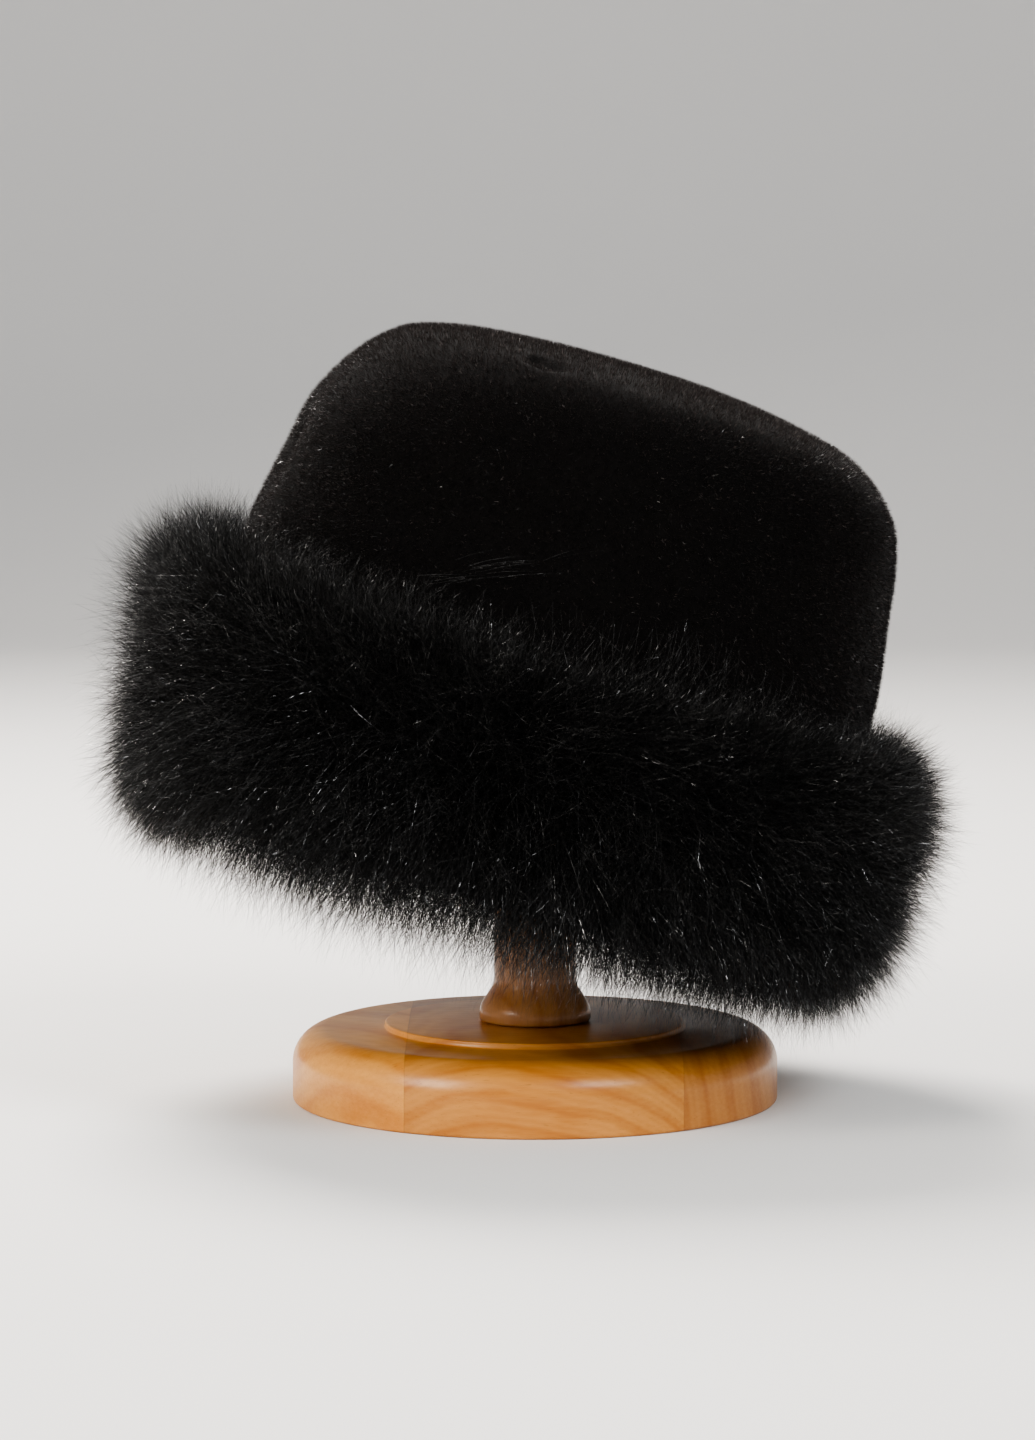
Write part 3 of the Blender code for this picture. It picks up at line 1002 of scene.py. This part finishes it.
class FURHAT_OT_cuff(Operator):
    """Shape the cuff's dense inner body"""

    bl_idname = "furhat.cuff"
    bl_label = "Cuff body"

    def execute(self, context):
        columns, rows = CUFF_GRID
        around, tilt = np.meshgrid(
            np.arange(columns) * math.tau / columns,
            np.linspace(-math.pi / 2, math.pi / 2, rows),
        )
        points = body_surface(around, tilt)
        lumps = slow_waves(points, CUFF_LUMP_SIZE, 12)[..., None] * CUFF_LUMP_DEPTH
        points += body_normals(around, tilt) * lumps
        out_x, out_y = outward(points[..., 0], points[..., 1])
        points += np.stack([out_x, out_y, 0 * out_x], -1) * CUFF_GAP
        piece = make_piece(
            "cuff_body",
            on_hat(points.reshape(-1, 3)),
            [ring_faces(rows, columns, closed=True)],
            fur_body_material(context.scene.furhat_cuff),
        )
        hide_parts("fur_cuff")
        return {"FINISHED"}


def body_surface(around, tilt):
    """The cuff's body as a surface of two parameters."""
    return cuff_point(around, tilt, CUFF_BODY_BULGE, CUFF_LOW, CUFF_HIGH)


def body_normals(around, tilt):
    """The body's unit normals, taken a little inside its edges."""
    return normals_of(body_surface, around, np.clip(tilt, -NORMAL_TILT_MOST, NORMAL_TILT_MOST))


def strayed(points, size, seed, height, spread, chance):
    """Slow waves plus chance, one number for each point."""
    return slow_waves(points, size, seed) * height + chance.normal(0.0, spread, len(points))


class FURHAT_OT_fur(Operator):
    """Grow the cuff's long fur in locks that spread to the cuff's outer form"""

    bl_idname = "furhat.fur"
    bl_label = "Cuff fur"

    def execute(self, context):
        settings = context.scene.furhat_cuff
        hair = hair_material("fur_hair", settings.colour, **FUR_LOOK)
        for number, layer in enumerate(FUR_LAYERS):
            make_fur_layer(*layer, settings, np.random.default_rng(71 + number), hair)
        make_wisps(settings, np.random.default_rng(91), hair)
        return {"FINISHED"}


def make_fur_layer(name, hairs, locks, share, width, spread, settings, chance, hair):
    """One layer of long fur. Each lock has a root on the cuff's body and a tip on the outer form,
    moved by slow waves and by chance, and its hairs gather loosely round the line between them."""
    around = chance.uniform(0.0, math.tau, locks)
    tilt = chance.uniform(-1.5, 1.5, locks)
    middle = body_surface(around, tilt)
    turn = strayed(middle, *LOCK_TURN, chance)
    rise = strayed(middle, *LOCK_RISE, chance)
    reach = 1.0 + strayed(middle, *LOCK_REACH, chance)
    count = int(hairs * settings.fullness)
    lock = chance.integers(0, locks, count)
    root_around = around[lock] + chance.normal(0.0, ROOT_TURN, count)
    root_tilt = tilt[lock] + chance.normal(0.0, ROOT_TILT, count)
    root_tilt = np.clip(root_tilt, -ROOT_TILT_MOST, ROOT_TILT_MOST)
    roots = cuff_point(root_around, root_tilt, ROOT_BULGE, ROOT_LOW, ROOT_HIGH)
    tip_around = root_around * 0.5 + around[lock] * 0.5 + turn[lock]
    tip_tilt = np.clip(tilt[lock] * 1.04 + rise[lock], -TIP_TILT_MOST, TIP_TILT_MOST)
    tips = cuff_point(tip_around, tip_tilt, CUFF_TIP_BULGE, CUFF_TIP_LOW, CUFF_TIP_HIGH)
    upper = 0.5 + 0.5 * np.sin(tip_tilt)
    tips[:, 2] += tips[:, 0] * (CUFF_UPPER_SLOPE * upper + CUFF_LOWER_SLOPE * (1.0 - upper))
    tips[:, 2] += CUFF_LOWER_BOW * np.cos(2.0 * tip_around) * (1.0 - upper)
    length = share * reach[lock] * chance.normal(*HAIR_REACH, count)
    length = np.clip(length, *REACH_LIMITS)[:, None]
    size = np.linalg.norm(tips - roots, axis=1)[:, None]
    strays = unit(tips - roots) + chance.normal(size=(count, 3)) * spread
    ends = unit(strays) * size * length
    size = (size * length)[:, 0]
    normal = body_normals(root_around, root_tilt)
    curl = chance.normal(size=(count, 3)) * HAIR_CURL
    starts = unit(normal * 0.7 + unit(ends) * 0.8 + curl) * size[:, None] * 0.95
    sink = (size * settings.droop)[:, None] * np.array([0.0, 0.0, -1.0])
    tones = chance.beta(*FUR_TONES, count) + 0.06 * slow_waves(middle, 0.03, 24)[lock]
    form = SHORT_HAIR if name == "under" else LONG_HAIR
    ends = lean(ends) + sink
    widths = width * settings.thickness * chance.uniform(*HAIR_WIDTHS, count)
    make_ribbons(
        "cuff_fur_" + name, on_hat(roots), lean(starts), ends,
        across_of(ends, chance), widths, np.clip(tones, 0.0, 1.0), form, hair,
    )


def make_wisps(settings, chance, hair):
    """Stray wisps that rise from the cuff's upper edge and lie over the crown, a little off it."""
    roots, ends, normals = [], [], []
    for middle, turn, wide, start, end, loose, count in WISPS:
        around = np.radians(middle + chance.normal(0.0, wide, count))
        low = share_at(start - np.abs(chance.normal(0.0, 0.02 * loose, count)))
        high = share_at(end - np.abs(chance.normal(0.0, 0.035 * loose, count)))
        tip_around = around + np.radians(turn + chance.normal(0.0, 2.8 * loose, count))
        normal = crown_normals(around, low)
        root = crown_point(around, low) + normal * chance.uniform(0.002, 0.008, (count, 1)) * loose
        lift = normal * chance.uniform(0.002, 0.007, (count, 1)) * loose
        roots.append(root)
        ends.append(crown_point(tip_around, high) + lift - root)
        normals.append(normal)
    roots, ends, normals = (np.concatenate(part) for part in (roots, ends, normals))
    size = np.linalg.norm(ends, axis=1)
    starts = unit(normals * 0.5 + unit(ends)) * size[:, None]
    ends = lean(ends)
    widths = WISP_WIDTH * settings.thickness * chance.uniform(*HAIR_WIDTHS, len(size))
    tones = chance.beta(*WISP_TONES, len(size))
    make_ribbons(
        "cuff_wisps", on_hat(roots), lean(starts), ends,
        across_of(ends, chance), widths, tones, LONG_HAIR, hair,
    )


class FURHAT_OT_stage(Operator):
    """Set the floor, the lights and the camera"""

    bl_idname = "furhat.stage"
    bl_label = "Stage"

    def execute(self, context):
        settings = context.scene.furhat_stage
        graph = Graph("floor_paper", Roughness=0.9, Specular_IOR_Level=0.1)
        clouds = graph.noise(graph.place()[0], 2.0, 2.0)
        shade = graph.ramp(clouds, (0.3, scaled(settings.floor, 0.98)), (0.7, settings.floor))
        make_sweep(graph.finish(Base_Color=shade))
        for name, place, target, size, share, colour in LIGHTS:
            add_light(name, place, target, size, settings.key_power * share, colour)
        world = bpy.data.worlds.new("soft_air")
        world.use_nodes = True
        air = world.node_tree.nodes["Background"]
        air.inputs["Color"].default_value = (*AIR_COLOUR, 1.0)
        air.inputs["Strength"].default_value = settings.air
        context.scene.world = world
        context.scene.view_settings.look = "AgX - Medium High Contrast"
        lens = bpy.data.cameras.new("camera")
        lens.sensor_fit = "VERTICAL"
        lens.sensor_height = CAMERA_FILM
        lens.lens = CAMERA_LENS
        camera = bpy.data.objects.new("camera", lens)
        camera.location = CAMERA_PLACE
        camera.rotation_euler = (math.pi / 2 - CAMERA_PITCH, 0.0, 0.0)
        context.scene.collection.objects.link(camera)
        context.scene.camera = camera
        return {"FINISHED"}


def make_sweep(material):
    """The floor and backdrop: a flat sheet that bends up behind along a quarter circle."""
    bend = np.radians(np.linspace(0.0, 90.0, 24))
    rows = [(SWEEP_NEAR, 0.0)]
    rows += [(SWEEP_FAR + SWEEP_BEND * math.sin(a), SWEEP_BEND * (1.0 - math.cos(a))) for a in bend]
    rows += [(SWEEP_FAR + SWEEP_BEND, SWEEP_TOP)]
    sides = (-SWEEP_HALF_WIDTH, SWEEP_HALF_WIDTH)
    points = [(side, y, z) for y, z in rows for side in sides]
    faces = [(low, low + 1, low + 3, low + 2) for low in range(0, len(points) - 2, 2)]
    mesh = bpy.data.meshes.new("floor")
    mesh.from_pydata(points, [], faces)
    mesh.shade_smooth()
    mesh.materials.append(material)
    floor = bpy.data.objects.new("floor", mesh)
    bpy.context.scene.collection.objects.link(floor)


def add_light(name, place, target, size, power, colour):
    """A soft square light, turned to face its target."""
    light = bpy.data.lights.new(name, "AREA")
    light.size = size
    light.energy = power
    light.color = colour
    lamp = bpy.data.objects.new(name, light)
    lamp.location = place
    lamp.rotation_euler = (Vector(target) - Vector(place)).to_track_quat("-Z", "Y").to_euler()
    bpy.context.scene.collection.objects.link(lamp)


class FURHAT_PT_panel(Panel):
    """Lists the pieces and their settings"""

    bl_idname = "FURHAT_PT_panel"
    bl_label = "Fur hat"
    bl_space_type = "VIEW_3D"
    bl_region_type = "UI"
    bl_category = "Fur hat"

    def draw(self, context):
        for group in SETTINGS:
            box = self.layout.box()
            for key in SETTINGS[group].__annotations__:
                box.prop(getattr(context.scene, group), key)
        for operator in OPERATORS:
            self.layout.operator(operator.bl_idname)


SETTINGS = {
    "furhat_stand": StandSettings,
    "furhat_crown": CrownSettings,
    "furhat_cuff": CuffSettings,
    "furhat_stage": StageSettings,
}
OPERATORS = (
    FURHAT_OT_stage,
    FURHAT_OT_foot,
    FURHAT_OT_neck,
    FURHAT_OT_dome,
    FURHAT_OT_crown,
    FURHAT_OT_pile,
    FURHAT_OT_cuff,
    FURHAT_OT_fur,
)


def register():
    """Adds the settings, the operators and the panel."""
    for name, group in SETTINGS.items():
        bpy.utils.register_class(group)
        setattr(bpy.types.Scene, name, PointerProperty(type=group))
    for operator in OPERATORS:
        bpy.utils.register_class(operator)
    bpy.utils.register_class(FURHAT_PT_panel)


def unregister():
    """Takes them all away again."""
    bpy.utils.unregister_class(FURHAT_PT_panel)
    for operator in reversed(OPERATORS):
        bpy.utils.unregister_class(operator)
    for name, group in SETTINGS.items():
        delattr(bpy.types.Scene, name)
        bpy.utils.unregister_class(group)


def main():
    """Builds every piece in order."""
    register()
    for operator in OPERATORS:
        group, name = operator.bl_idname.split(".")
        getattr(getattr(bpy.ops, group), name)()
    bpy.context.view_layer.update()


if __name__ == "__main__":
    main()
